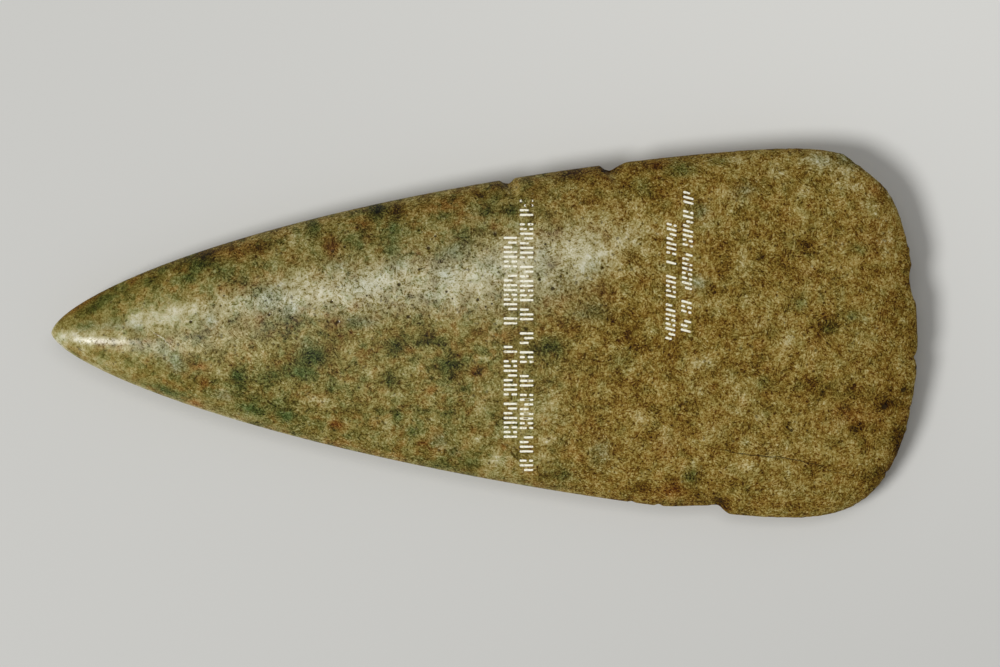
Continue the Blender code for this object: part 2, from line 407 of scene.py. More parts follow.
def carve(co, upper):
    # works the chips, scars, pits and cracks into the smooth shape; gives back what the finish needs
    marks = {}
    rimIndex, rimDistance = nearest(rimTree, co[:, :2])
    ahead = np.roll(rimPoints, -relief["rimStep"], 0) - np.roll(rimPoints, relief["rimStep"], 0)
    inward = np.stack([ahead[:, 1], -ahead[:, 0]], 1)
    inward /= np.maximum(np.linalg.norm(inward, axis=1, keepdims=True), 1e-12)
    nearRim = np.exp(-rimDistance / relief["nickReach"])
    push, sink, scarred = np.zeros(len(co)), np.zeros(len(co)), np.zeros(len(co))
    for px, py, half, depth, drop in relief["nicks"]:
        away = np.linalg.norm(rimPoints[rimIndex] - fromPhoto(px, py), axis=1)
        bite = smoothStep(1, 0, away / (half * photo["metresPerPixel"]))
        push += depth * photo["metresPerPixel"] * bite * nearRim
        sink += drop * bite * nearRim
        scarred = np.maximum(scarred, bite * nearRim * (depth > 0))
    size, height = relief["rimGrain"]
    share = relief["buttRimShare"] + smoothStep(*relief["rimGrainStart"], co[:, 0])
    push += height * softNoise(rimPoints, size, 2, 3.0)[rimIndex] * nearRim * share
    co[:, :2] += push[:, None] * inward[rimIndex]
    for px, py, half, halfWide, turn, depth in relief["scars"]:
        ring = inEllipse(co, (px, py, half, halfWide, turn))
        ring *= 1 + relief["scarEdge"][1] * softNoise(co, relief["scarEdge"][0], 2, 9.0)
        sink += depth * np.maximum(1 - ring, 0)
        scarred = np.maximum(scarred, smoothStep(1.0, 0.6, ring))
    dark = np.zeros(len(co))
    for (x, y), radius, depth in pits:
        away = np.hypot(co[:, 0] - x, co[:, 1] - y) / radius
        sink += depth * np.maximum(1 - away ** 2, 0) ** 2
        dark = np.maximum(dark, smoothStep(1.0, 0.35, away))
    crackTree = KDTree(len(cracks))
    for index, (place, width, depth) in enumerate(cracks):
        crackTree.insert((*place, 0), index)
    crackTree.balance()
    crackIndex, away = nearest(crackTree, co[:, :2])
    widths = np.array([crack[1] for crack in cracks])[crackIndex]
    depths = np.array([crack[2] for crack in cracks])[crackIndex]
    groove = np.exp(-(away / widths) ** 2)
    sink += depths * groove
    marks["crack"] = groove * depths / max(depths)
    size, height = relief["undulation"]
    sink += height * softNoise(co, size, 2, 0.0)
    size, height = relief["bladeGrain"]
    blade = smoothStep(*relief["bladeStart"], co[:, 0])
    sink += height * softNoise(co, size, 2, 5.0) * (relief["buttGrainShare"] + blade)
    inside = smoothStep(0, relief["rimKept"], rimDistance)
    co[:, 2] -= sink * inside * upper
    co[:, 2] += height * softNoise(co, size, 2, 7.0) * inside * (1 - upper)
    marks["pit"] = dark * upper
    marks["scar"] = scarred
    marks["blade"] = blade
    # the upper side's border, darker by its own olive tint and by painted shade, and the thin painted
    # highlight along the lower side of the butt
    isUpperSide = rimIndex < len(outline["upper"][1])
    toBlade = smoothStep(*relief["borderEnd"], co[:, 0])
    width = relief["borderWidth"] * (1 - 0.6 * toBlade)
    marks["borderTintAndPaintedShade"] = isUpperSide * np.exp(-(rimDistance / width) ** 2) * (1 - 0.5 * toBlade)
    ending = smoothStep(*relief["lightLineEnd"], co[:, 0])
    # a painted highlight: a thin lighter line where the lower rim of the butt catches the light
    marks["paintedHighlightLine"] = ~isUpperSide * np.exp(-rimDistance / relief["lightLineWidth"]) * (1 - ending)
    # the polish is dull at the tip but for one streak, and worn below the ridge and in the border
    below, inBorder, underneath = relief["polishShares"]
    polished = below + (1 - below) * aboveRidge(co, relief["polishFall"])
    polished *= (1 - smoothStep(*relief["polishEnd"], co[:, 0])) * (1 - (1 - inBorder) * marks["borderTintAndPaintedShade"])
    streak = np.maximum.reduce([np.exp(-inEllipse(co, spot) ** 2) for spot in relief["tipStreak"]])
    pastTip = smoothStep(*relief["tipDull"], co[:, 0])
    marks["polish"] = upper * polished * np.maximum(pastTip, streak) + underneath * (1 - upper)
    marks["tip"] = upper * (1 - pastTip)
    return marks


# Stains and tints of the stone, with a painted sheen and painted highlights among them. Each spot is a
# place, a half length, a half width, a turn and a strength.
stains = {
    "green": (
        (101, 303, 27, 7, 36, 1.0), (86, 326, 16, 7, 20, 0.5), (160, 274, 50, 6, 26, 0.5),
        (200, 265, 14, 8, 25, 1.1), (190, 278, 10, 7, 0, 0.9), (221, 273, 18, 9, 20, 0.6),
        (313, 229, 9, 12, 10, 1.1), (270, 246, 10, 6, 0, 0.4), (346, 238, 12, 9, 0, 0.4),
        (378, 212, 12, 9, 0, 1.0), (394, 234, 8, 20, 8, 1.0), (362, 246, 5, 9, 0, 0.7),
        (392, 251, 6, 9, 0, 0.6), (487, 211, 8, 12, -10, 0.7), (481, 231, 8, 8, 0, 0.4),
        (455, 250, 22, 8, 25, 0.5), (464, 236, 10, 8, 30, 0.4), (240, 377, 9, 11, 10, 1.0),
        (272, 376, 14, 8, 0, 0.7), (290, 372, 14, 9, 0, 0.7), (166, 390, 12, 5, -24, 0.8),
        (251, 408, 17, 7, -14, 1.2), (287, 415, 14, 7, -10, 1.2), (262, 402, 30, 10, -15, 0.4),
        (314, 357, 14, 12, 0, 1.1), (305, 372, 16, 10, 0, 0.9), (332, 382, 8, 13, 0, 0.7),
        (308, 340, 8, 5, 0, 0.6), (363, 380, 7, 8, 0, 0.5), (390, 380, 6, 13, 10, 0.8),
        (396, 346, 10, 9, 0, 0.8), (398, 416, 7, 8, 0, 0.6), (423, 343, 10, 6, 0, 0.6),
        (450, 365, 17, 10, 0, 0.7), (468, 388, 9, 6, 0, 0.5), (450, 411, 5, 15, 0, 0.5),
        (410, 430, 8, 6, 0, 0.5), (441, 465, 22, 4, -16, 0.5), (470, 462, 12, 7, 0, 0.5),
        (510, 212, 10, 7, 0, 0.6), (550, 347, 14, 11, 0, 0.9), (590, 312, 20, 9, 0, 0.4),
        (563, 474, 14, 8, -10, 0.6), (620, 362, 12, 14, 0, 0.4), (690, 475, 9, 9, 0, 0.8),
        (680, 170, 16, 8, 0, 0.8), (640, 188, 10, 8, 0, 0.5), (718, 162, 12, 5, 0, 0.5),
        (697, 212, 8, 8, 0, 0.4), (760, 384, 8, 7, 0, 0.5), (828, 328, 10, 7, 0, 0.6),
        (850, 316, 10, 6, 0, 0.6), (796, 302, 10, 9, 0, 0.5), (857, 249, 9, 5, 0, 0.5),
        (852, 160, 12, 4, -35, 0.6),
    ),
    "blue": (
        (273, 299, 24, 14, 10, 0.9), (291, 310, 12, 9, 20, 1.0), (213, 322, 7, 9, 0, 0.8),
        (178, 362, 12, 9, -50, 1.0), (166, 352, 14, 8, -40, 0.7), (120, 325, 26, 6, 5, 0.6),
        (140, 329, 8, 6, 0, 0.9), (90, 326, 14, 6, 10, 0.6), (340, 266, 12, 8, 0, 0.6),
        (365, 285, 24, 12, 0, 0.6), (396, 268, 14, 9, 20, 0.7), (446, 275, 14, 12, 0, 0.9),
        (434, 296, 14, 8, 0, 0.5), (362, 322, 18, 6, 0, 0.9), (490, 268, 18, 14, 0, 0.4),
        (452, 254, 24, 8, 30, 0.6), (560, 285, 30, 16, 20, 0.3), (590, 268, 16, 10, 20, 0.5),
        (543, 262, 10, 24, 0, 0.5), (590, 312, 18, 10, 0, 0.5), (440, 440, 8, 8, 0, 0.7),
        (225, 395, 12, 5, -10, 0.6), (455, 451, 7, 5, 0, 0.6), (846, 160, 16, 6, -32, 0.7),
        (310, 345, 12, 8, 0, 0.4), (742, 192, 14, 8, 20, 0.5), (697, 212, 10, 8, 0, 0.5),
        (600, 452, 10, 14, 0, 0.5), (694, 284, 12, 7, 0, 0.6), (820, 160, 16, 8, -8, 0.5),
    ),
    "rust": (
        (88, 301, 34, 3, 33, 0.9), (225, 291, 6, 8, 0, 0.7), (202, 367, 9, 5, 0, 1.0),
        (206, 383, 6, 5, 0, 0.9), (195, 403, 9, 5, -15, 1.0), (240, 250, 36, 8, 14, 0.6),
        (361, 226, 9, 5, 10, 0.8), (334, 246, 7, 10, 0, 0.9), (337, 425, 7, 6, 0, 1.2),
        (431, 390, 7, 5, 0, 0.7), (410, 349, 8, 5, 0, 0.7), (478, 371, 9, 7, 0, 0.8),
        (478, 332, 8, 5, 0, 0.5), (440, 207, 26, 8, 12, 0.7), (474, 216, 14, 8, 0, 0.5),
        (655, 165, 16, 5, 5, 0.6), (874, 190, 8, 6, -40, 0.5), (571, 241, 8, 6, 0, 0.4),
        (497, 335, 20, 8, 0, 0.5), (672, 490, 12, 9, 0, 0.9), (850, 415, 30, 12, 0, 0.5),
        (875, 240, 14, 14, 0, 0.4), (665, 445, 14, 14, 0, 0.4), (806, 272, 10, 6, 0, 0.4),
        (815, 342, 10, 9, 0, 0.4),
    ),
    "dark": (
        (208, 254, 20, 5, 25, 0.8), (250, 250, 22, 7, 14, 0.5), (235, 250, 10, 5, 14, 0.4),
        (332, 246, 7, 9, 0, 0.7), (379, 213, 11, 7, 0, 0.7), (398, 212, 9, 10, 0, 1.1),
        (455, 199, 14, 6, 10, 0.6), (478, 195, 9, 5, 0, 1.0), (427, 244, 4, 5, 0, 0.7),
        (420, 262, 5, 4, 0, 0.6), (495, 232, 6, 6, 0, 0.6), (499, 187, 8, 6, 0, 0.9),
        (290, 222, 60, 3, 19, 0.3), (315, 354, 11, 9, 0, 0.35), (336, 322, 8, 6, 0, 0.5),
        (337, 425, 6, 5, 0, 0.5), (355, 410, 8, 5, 0, 0.5), (397, 348, 12, 8, 0, 0.7),
        (425, 340, 14, 6, 0, 0.7), (478, 332, 7, 4, 0, 0.8), (478, 371, 8, 6, 0, 0.8),
        (450, 366, 16, 9, 0, 0.4), (455, 450, 6, 5, 0, 0.5), (410, 338, 30, 9, 0, 0.4),
        (541, 188, 8, 7, 0, 1.0), (570, 177, 24, 6, 5, 0.8), (608, 169, 14, 5, 0, 0.9),
        (655, 166, 11, 5, 0, 0.6), (630, 308, 9, 9, 0, 0.9), (628, 334, 11, 4, 42, 1.1),
        (641, 346, 13, 9, 20, 0.9), (592, 310, 20, 8, 0, 0.5), (550, 346, 14, 10, 0, 0.5),
        (578, 338, 7, 6, 0, 0.7), (670, 355, 14, 12, 0, 0.4), (668, 373, 9, 7, 0, 0.7),
        (715, 292, 12, 7, 0, 0.8), (720, 266, 9, 18, 0, 0.5), (700, 322, 16, 8, 0, 0.6),
        (768, 238, 6, 6, 0, 0.8), (760, 257, 7, 6, 0, 0.7), (780, 251, 7, 6, 0, 0.7),
        (803, 247, 8, 10, 0, 1.1), (790, 271, 6, 7, 0, 0.7), (836, 226, 6, 7, 0, 0.7),
        (785, 168, 6, 5, 0, 0.6), (797, 178, 7, 5, 30, 0.7), (821, 391, 12, 8, 0, 1.2),
        (808, 381, 12, 6, 0, 0.7), (788, 367, 6, 6, 0, 0.7), (852, 388, 9, 8, 0, 0.7),
        (868, 396, 22, 12, 0, 0.6), (855, 429, 12, 8, 0, 1.1), (850, 410, 16, 9, 0, 0.6),
        (883, 405, 14, 7, 10, 1.1), (906, 390, 8, 8, 0, 1.3), (899, 450, 8, 22, -14, 1.3),
        (880, 478, 18, 8, 52, 1.2), (870, 447, 7, 6, 0, 0.6), (868, 480, 9, 8, 0, 0.6),
        (812, 463, 8, 5, 0, 0.5), (745, 426, 7, 6, 0, 0.6), (716, 450, 9, 8, 0, 0.4),
        (692, 478, 10, 9, 0, 0.4), (695, 494, 24, 7, -2, 0.9), (640, 487, 16, 7, -6, 1.0),
        (672, 488, 10, 8, 0, 0.7), (605, 478, 30, 6, -8, 0.4), (562, 474, 10, 7, 0, 0.4),
        (830, 325, 10, 7, 0, 0.5), (893, 322, 6, 12, 0, 0.5), (842, 300, 8, 8, 0, 0.4),
        (872, 270, 12, 6, 0, 0.6), (790, 506, 50, 5, 0, 0.4), (912, 340, 5, 26, 0, 0.8),
        (722, 503, 12, 6, -30, 0.9),
    ),
    # pale stains, with painted highlights among them: the bright streak at the tip and a few small glints
    "pale": (
        (66, 336, 13, 9, 0, 1.9), (90, 342, 30, 9, -8, 1.0), (90, 354, 34, 8, -26, 0.8),
        (130, 352, 46, 14, -12, 0.5), (205, 342, 36, 14, 0, 0.7), (215, 372, 20, 8, 0, 0.4),
        (262, 350, 14, 20, 0, 0.4), (345, 345, 10, 8, 0, 0.5), (285, 395, 7, 4, 0, 0.8),
        (312, 399, 9, 8, 0, 0.8), (326, 401, 9, 7, 0, 0.6), (392, 430, 14, 10, -14, 0.6),
        (450, 385, 14, 8, 0, 0.5), (482, 404, 10, 8, 0, 0.6), (480, 439, 6, 5, 0, 1.1),
        (498, 432, 10, 10, 0, 0.6), (500, 460, 14, 10, 0, 0.8), (298, 236, 20, 12, 15, 0.9),
        (345, 268, 14, 8, 0, 0.4), (474, 214, 14, 8, 0, 0.5), (410, 240, 8, 12, 0, 0.5),
        (506, 238, 14, 14, 0, 0.6), (498, 322, 26, 9, 0, 0.6), (446, 232, 7, 8, 0, 0.6),
        (545, 404, 12, 14, 0, 0.6), (562, 418, 10, 8, 0, 0.6), (550, 440, 10, 5, 0, 0.9),
        (543, 456, 10, 7, 0, 0.6), (525, 415, 16, 10, 0, 0.6), (636, 446, 8, 6, 0, 0.7),
        (638, 416, 10, 11, 0, 0.4), (665, 440, 13, 14, 0, 0.5), (625, 208, 30, 9, 0, 0.5),
        (637, 240, 22, 16, 0, 0.9), (648, 272, 18, 12, 0, 0.6), (690, 256, 8, 9, 0, 0.5),
        (696, 281, 9, 6, 0, 0.4), (702, 304, 16, 4, 0, 0.5), (741, 262, 4, 20, 0, 0.7),
        (745, 300, 7, 12, 0, 0.5), (741, 230, 7, 10, 0, 0.5), (712, 226, 16, 14, 0, 0.5),
        (755, 325, 16, 8, 0, 0.6), (780, 319, 9, 6, 0, 0.6), (786, 340, 6, 11, 0, 0.5),
        (806, 273, 10, 6, 0, 0.5), (733, 161, 12, 6, 0, 0.5), (775, 172, 18, 8, 0, 0.7),
        (815, 163, 16, 9, 0, 1.4), (842, 172, 14, 10, 0, 1.3), (850, 187, 13, 5, 0, 1.2),
        (803, 192, 9, 6, 0, 0.5), (868, 205, 14, 14, 0, 0.5), (876, 240, 14, 14, 0, 0.4),
        (837, 245, 6, 5, 0, 0.5), (700, 364, 14, 8, 0, 0.7), (725, 376, 10, 8, 0, 0.5),
        (698, 388, 12, 12, 0, 0.5), (738, 392, 14, 9, 0, 0.4), (757, 417, 5, 4, 0, 1.2),
        (733, 409, 9, 8, 0, 0.5), (714, 430, 12, 10, 0, 0.5), (746, 441, 12, 8, 0, 0.5),
        (772, 452, 18, 11, 0, 0.5), (792, 430, 8, 8, 0, 0.5), (742, 470, 20, 8, 0, 0.4),
        (788, 488, 26, 9, 0, 0.4), (838, 387, 4, 3, 0, 0.8), (900, 398, 12, 2.5, 10, 0.8),
        (553, 458, 2, 2, 0, 1.5), (887, 197, 2, 2, 0, 1.5), (843, 160, 18, 3, -34, 0.8),
    ),
    # painted sheen: the polish's reflection of the light, painted as a lighter, paler tint on the upper
    # flank only
    "paintedSheen": (
        (95, 338, 44, 7, 2, 0.8), (175, 316, 46, 15, 8, 1.4), (235, 305, 40, 16, 8, 0.9),
        (320, 292, 50, 22, 4, 1.1), (385, 282, 50, 24, 3, 1.1), (465, 282, 46, 28, 5, 1.1),
        (530, 268, 40, 32, 10, 0.9), (580, 254, 36, 28, 20, 1.3), (610, 240, 40, 20, 15, 0.4),
    ),
}
# The painted sheen ends at the ridge, along this line of pixels
ridgeLine = (
    (60, 352), (120, 351), (170, 345), (250, 338), (300, 324), (400, 319), (450, 324), (520, 322),
    (580, 314), (640, 300), (950, 300),
)
sheenFall = 1.6 * mm


def aboveRidge(co, softness):
    line = np.array([fromPhoto(*point) for point in ridgeLine])
    above = co[:, 1] - np.interp(co[:, 0], line[:, 0], line[:, 1])
    return smoothStep(-softness, softness, above)


def paintStains(mesh, co, upper):
    ridge = aboveRidge(co, sheenFall)
    for name, spots in stains.items():
        amount = np.zeros(len(co))
        for *spot, strength in spots:
            amount = np.maximum(amount, strength * np.exp(-1.2 * inEllipse(co, spot) ** 2))
        writeMark(mesh, name, amount * upper * (ridge if name == "paintedSheen" else 1))


def writeMark(mesh, name, values):
    mark = mesh.attributes.new(name, "FLOAT", "POINT")
    mark.data.foreach_set("value", values.astype(np.float32))


class Wire:
    # an output of a node tree, so that shader maths reads as plain expressions
    def __init__(self, tree, output=None):
        self.tree = tree
        self.output = output

    def node(self, kind, settings=None, inputs=None, output=0):
        made = self.tree.nodes.new(kind)
        for name, value in (settings or {}).items():
            setattr(made, name, value)
        for name, value in (inputs or {}).items():
            if isinstance(value, Wire):
                self.tree.links.new(value.output, made.inputs[name])
            else:
                made.inputs[name].default_value = value
        return Wire(self.tree, made.outputs[output])

    def maths(self, operation, *values):
        return self.node("ShaderNodeMath", {"operation": operation}, dict(enumerate(values)))

    def __add__(self, other):
        return self.maths("ADD", self, other)

    def __sub__(self, other):
        return self.maths("SUBTRACT", self, other)

    def __rsub__(self, other):
        return self.maths("SUBTRACT", other, self)

    def __mul__(self, other):
        return self.maths("MULTIPLY", self, other)

    def __neg__(self):
        return self.maths("MULTIPLY", self, -1.0)

    __radd__ = __add__
    __rmul__ = __mul__

    def between(self, low, high):
        # from 0 at low to 1 at high, softly
        limits = {"Value": self, "From Min": low, "From Max": high}
        return self.node("ShaderNodeMapRange", {"interpolation_type": "SMOOTHSTEP"}, limits)

    def mixed(self, factor, first, second):
        # inputs 0, 6 and 7 are the factor and the two colours, and output 2 is the mixed colour
        return self.node("ShaderNodeMix", {"data_type": "RGBA"}, {0: factor, 6: first, 7: second}, 2)

    def into(self, socket):
        self.tree.links.new(self.output, socket)


def newMaterial(name):
    material = bpy.data.materials.new(name)
    material.use_nodes = True
    return material, Wire(material.node_tree), material.node_tree.nodes["Principled BSDF"]


stoneFinish = {
    "light": 0.785,                   # how bright white would be, lying on the table
    "olive": (118, 104, 46),          # ground of the butt half
    "golden": (122, 99, 37),          # ground of the blade
    "warm": (130, 92, 34),
    "cool": (104, 103, 50),
    "green": (96, 108, 58),
    "aqua": (109, 112, 75),
    "rust": (136, 90, 34),
    "cream": (123, 111, 60),
    "hollowDark": (44, 32, 10),
    # for each stain, and for the painted sheen, highlights and shade, its hue, how much of it shows, and
    # its tone: how much it lightens the stone
    "stainLooks": {
        "rust": ("rust", 0.75, -0.15), "green": ("green", 0.9, -0.45), "pale": ("cream", 0.4, 0.40),
        "paintedSheen": ("cream", 0.9, 0.68), "blue": ("aqua", 0.9, 0.0), "dark": ("golden", 0.3, -0.5),
        # the border's darkening is its own tint with painted shade, and the light line is a painted
        # highlight
        "borderTintAndPaintedShade": ("golden", 0.3, -0.12), "paintedHighlightLine": ("cream", 0.5, 0.5),
    },
    "scarTone": -0.25,
    "tipTone": 0.08,
    "scattered": (3.4 * mm, 0.35, -0.12),   # faint green flecks of the butt half: size, hue and tone
    "hueSpots": 2.6 * mm,                   # size of the warmer and cooler spots
    "crystal": (0.75 * mm, 0.30 * mm),      # length and width of the felted grains
    "crystalTurns": (0.35, 1.4, 2.45),
    "feltPatch": 2.6 * mm,                  # size of the patches in which they lie one way
    # size and strength of the grain, from sand to broad clouds
    "sand": (0.30 * mm, 0.68),
    "small": (0.55 * mm, 0.48),
    "ragged": (1.3 * mm, 0.32),
    "middle": (3.2 * mm, 0.24),
    "broad": (8.0 * mm, 0.12),
    "cloudy": (5.0 * mm, 0.3),
    "felt": 0.76,
    "grain": (0.90, 0.12, -0.35),           # strength of all fine grain, and its change on blade and tip
    "sheenGrain": (0.8, 1.3, 0.3),          # how much the sheen changes it, its dark and its light part
    "raggedness": (1.1, 1.4, 0.4),          # of the stains, by the ragged, middle and small grain
    "speckSize": 0.55 * mm,
    "speckAndGlintTone": 0.25,
    "ior": 1.6,
    "coatIor": 1.62,
    "specular": 0.10,
    "coatRoughness": 0.24,
    "bump": (0.5, 0.12 * mm),
}


def stoneMaterial():
    material, board, shader = newMaterial("jadeite")
    finish = stoneFinish
    place = board.node("ShaderNodeTexCoord", output="Object")

    def colour(name):
        return seenAs(*finish[name], light=finish["light"])

    def mark(name):
        return board.node("ShaderNodeAttribute", {"attribute_name": name}, output="Fac")

    def cloud(size, seed, detail=0.0):
        # a noise about 0, with spots of the given size
        spot = {"Vector": place, "W": seed, "Scale": 1 / size, "Detail": detail, "Roughness": 0.6}
        return board.node("ShaderNodeTexNoise", {"noise_dimensions": "4D", "normalize": False}, spot)

    def cells(where, scale, seed):
        # a number from -0.5 to 0.5 for each cell
        spot = {"Vector": where, "W": seed, "Scale": scale}
        shade = board.node("ShaderNodeTexVoronoi", {"voronoi_dimensions": "4D"}, spot, "Color")
        return board.node("ShaderNodeSeparateColor", {}, {"Color": shade}) - 0.5

    def felted(turn, seed):
        # long grains that lie one way
        length, width = finish["crystal"]
        spot = {"Vector": place, "Rotation": (0, 0, turn), "Scale": (length, width, width)}
        return cells(board.node("ShaderNodeMapping", {"vector_type": "TEXTURE"}, spot), 1.0, seed)

    def chosen(factor, first, second):
        return first + (second - first) * factor

    blade, polish, paintedSheen, tip = (mark(name) for name in ("blade", "polish", "paintedSheen", "tip"))
    sand, small, ragged, middle, broad = (
        cloud(finish[name][0], index * 3.7) * finish[name][1]
        for index, name in enumerate(("sand", "small", "ragged", "middle", "broad")))
    first, second, third = (felted(turn, turn) for turn in finish["crystalTurns"])
    patch, otherPatch = cloud(finish["feltPatch"], 31.0), cloud(finish["feltPatch"], 37.0)
    felt = chosen(patch.between(-0.1, 0.1), first, second)
    felt = chosen(otherPatch.between(0.0, 0.2), felt, third)
    grain, bladeGrain, tipGrain = finish["grain"]
    fine = (felt * finish["felt"] + sand + small) * (blade * bladeGrain + grain + tip * tipGrain)
    # polished stone shows its dark grains only
    amount, darkPart, lightPart = finish["sheenGrain"]
    darkOnly = board.maths("MINIMUM", fine * darkPart, fine * lightPart)
    fine = chosen(paintedSheen.between(0.0, 0.8) * amount, fine, darkOnly)
    shares = finish["raggedness"]
    edges = ragged * shares[0] + middle * shares[1] + small * shares[2]

    # the hues are all about as bright, and the tone is kept apart from them
    ground = board.mixed((blade + middle * 2).between(0.1, 0.9), colour("olive"), colour("golden"))
    hue = cloud(finish["hueSpots"], 43.0, 1.0) * (1.5 - blade * 0.5)
    ground = board.mixed(hue * 0.5, ground, colour("warm"))
    ground = board.mixed(hue * -0.5, ground, colour("cool"))
    size, amount = finish["cloudy"]
    tone = ragged + middle + broad + cloud(size, 11.0, 4.0) * amount + tip * finish["tipTone"]
    # stains, and the painted sheen, highlights and shade, each give a hue and a tone
    for name, (hueName, hueShare, lightening) in finish["stainLooks"].items():
        # a stain is ragged wherever there is any of it, and never below nothing
        spot = mark(name)
        spot = board.maths("MAXIMUM", spot + edges * spot.between(0.0, 0.6), 0.0)
        ground = board.mixed(spot * hueShare, ground, colour(hueName))
        tone = tone + spot * lightening
    size, hueShare, lightening = finish["scattered"]
    scattered = (cloud(size, 57.0, 3.0) * 1.3).between(0.1, 0.6) * (1 - blade)
    ground = board.mixed(scattered * hueShare, ground, colour("green"))
    tone = tone + scattered * lightening + mark("scar") * finish["scarTone"]
    # bright specks lighten the tone: light grains and painted glints
    specks = cells(place, 1 / finish["speckSize"], 5.0)
    tone = tone + specks.between(0.475, 0.49) * finish["speckAndGlintTone"]

    # a power darkens or lightens all three channels alike; hollows and black specks are darkened
    power = board.maths("EXPONENT", -(tone + fine))
    ground = board.node("ShaderNodeGamma", {}, {"Color": ground, "Gamma": power})
    blackened = (-specks + middle * 0.2).between(0.46, 0.495)
    hollow = (mark("pit") + small * 0.5).between(0.15, 0.6)
    hollow = hollow + (mark("crack") + small * 0.5).between(0.25, 0.7) + blackened * 0.6
    ground = board.mixed(hollow * 0.9, ground, colour("hollowDark"))

    gloss = polish * (fine * 2.0 + 0.9).between(0.0, 1.0) * (1 - hollow) * (1 - mark("scar"))
    roughness = 0.62 + blade * 0.15 + felt * 0.1
    strength, distance = finish["bump"]
    height = felt * (0.2 + blade * 0.6) + small * (0.6 + blade * 1.4)
    height = {"Strength": strength, "Distance": distance, "Height": height}
    bump = board.node("ShaderNodeBump", {}, height)
    ground.into(shader.inputs["Base Color"])
    roughness.into(shader.inputs["Roughness"])
    gloss.into(shader.inputs["Coat Weight"])
    bump.into(shader.inputs["Normal"])
    shader.inputs["IOR"].default_value = finish["ior"]
    shader.inputs["Specular IOR Level"].default_value = finish["specular"]
    shader.inputs["Coat IOR"].default_value = finish["coatIor"]
    shader.inputs["Coat Roughness"].default_value = finish["coatRoughness"]
    return material


def fitInBox(co):
    # keeps the worked surface within the CAD solid's box, with room on top for the paint
    low, high = (np.array(corner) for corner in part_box("axe_head"))
    high[2] -= 2 * strokes["thickness"]
    for axis in range(3):
        co[:, axis] *= min(1, high[axis] / co[:, axis].max())
        if axis < 2:
            co[:, axis] *= min(1, low[axis] / co[:, axis].min())


def makeStone():
    bm = bmesh.new()
    for facing in (1, -1):
        bm.from_mesh(makeSheet(facing))
    bmesh.ops.remove_doubles(bm, verts=bm.verts, dist=2e-6)
    mesh = bpy.data.meshes.new("stone")
    bm.to_mesh(mesh)
    bm.free()
    count = len(mesh.vertices)
    co, upper = np.empty(count * 3, np.float32), np.empty(count, np.float32)
    mesh.vertices.foreach_get("co", co)
    mesh.attributes["upper"].data.foreach_get("value", upper)
    co = co.reshape(-1, 3).astype(float)
    lowest = co[:, 2].min()
    marks = carve(co, upper)
    co[:, 2] = np.maximum(co[:, 2] - lowest - shape["flatDepth"], 0)
    fitInBox(co)
    paintStains(mesh, co, upper)
    for name, values in marks.items():
        writeMark(mesh, name, values)
    mesh.vertices.foreach_set("co", co.astype(np.float32).ravel())
    mesh.update()
    mesh.shade_smooth()
    mesh.set_sharp_from_angle(angle=sharpAngle)
    mesh.materials.append(stoneMaterial())
    stone = bpy.data.objects.new("stone", mesh)
    bpy.context.scene.collection.objects.link(stone)
    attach(stone, "root")
    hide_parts("axe_head")
    triangles = sum(len(face.vertices) - 2 for face in mesh.polygons)
    print("stone made,", triangles, "triangles")
    return stone


# Rows of plain painted strokes, in the place of the museum's lettering
strokes = {
    # where a row starts and ends: the middle of its strokes, in pixels, then their height in pixels,
    # how far they lean, and where the paint has worn away
    "rows": (
        ((510.3, 438.5), (510.3, 233), 13.5, 0.0, ((325, 345), (396, 401))),
        ((526.3, 472), (526.3, 198), 13.5, 0.0, ((322, 331), (366, 374), (455, 459))),
        ((668.5, 341), (670, 222), 10.2, -0.25, ((268, 273),)),
        ((684, 333), (687.0, 188), 10.6, -0.25, ((290, 302), (312, 320))),
    ),
    "width": 2.3,          # of a stroke, in pixels
    "pitch": 4.7,          # from stroke to stroke along a row, in pixels
    "wordLength": 8,       # a gap is left after this many strokes
    "thickness": 0.03 * mm,
    "colour": (238, 235, 218),
    "rubbed": (176, 164, 122),
    "wearScale": 2400.0,   # of the noise by which the paint is rubbed, and from where to where it is
    "wearRange": (0.52, 0.72),
    "roughness": 0.7,
    "specular": 0.2,
    "rounding": 10,        # corners of a stroke's outline
    "shortest": 0.4,       # straight part of a stroke, in pixels
    "bevel": (0.15, 0.4),  # as shares of the width and of the thickness
    # parts of a stroke, each from where to where along its height: whole, broken, short
    "kinds": (
        ((0.0, 1.0),), ((0.0, 0.42), (0.62, 1.0)), ((0.0, 1.0),), ((0.0, 0.68),),
        ((0.0, 0.3), (0.48, 1.0)), ((0.0, 1.0),), ((0.34, 1.0),),
    ),
}


def strokePlan():
    # each stroke as its middle, its direction and its length, in pixels
    for row, (start, end, height, lean, gaps) in enumerate(strokes["rows"]):
        start, end = Vector(start), Vector(end)
        way = (end - start).normalized()
        up = Vector((way.y, -way.x))     # toward the left of the picture
        direction = (up - way * lean).normalized()
        count = int((end - start).length / strokes["pitch"])
        for step in range(count):
            middle = start + way * strokes["pitch"] * (step + 0.5)
            isWorn = any(low < middle.y < high for low, high in gaps)
            isGap = step % (strokes["wordLength"] + 1) == strokes["wordLength"]
            if not isWorn and not isGap:
                kind = strokes["kinds"][(step * 4 + row * 3) % len(strokes["kinds"])]
                for low, high in kind:
                    offset = (low + high) / 2 - 0.5
                    yield middle + direction * height * offset, direction, height * (high - low)


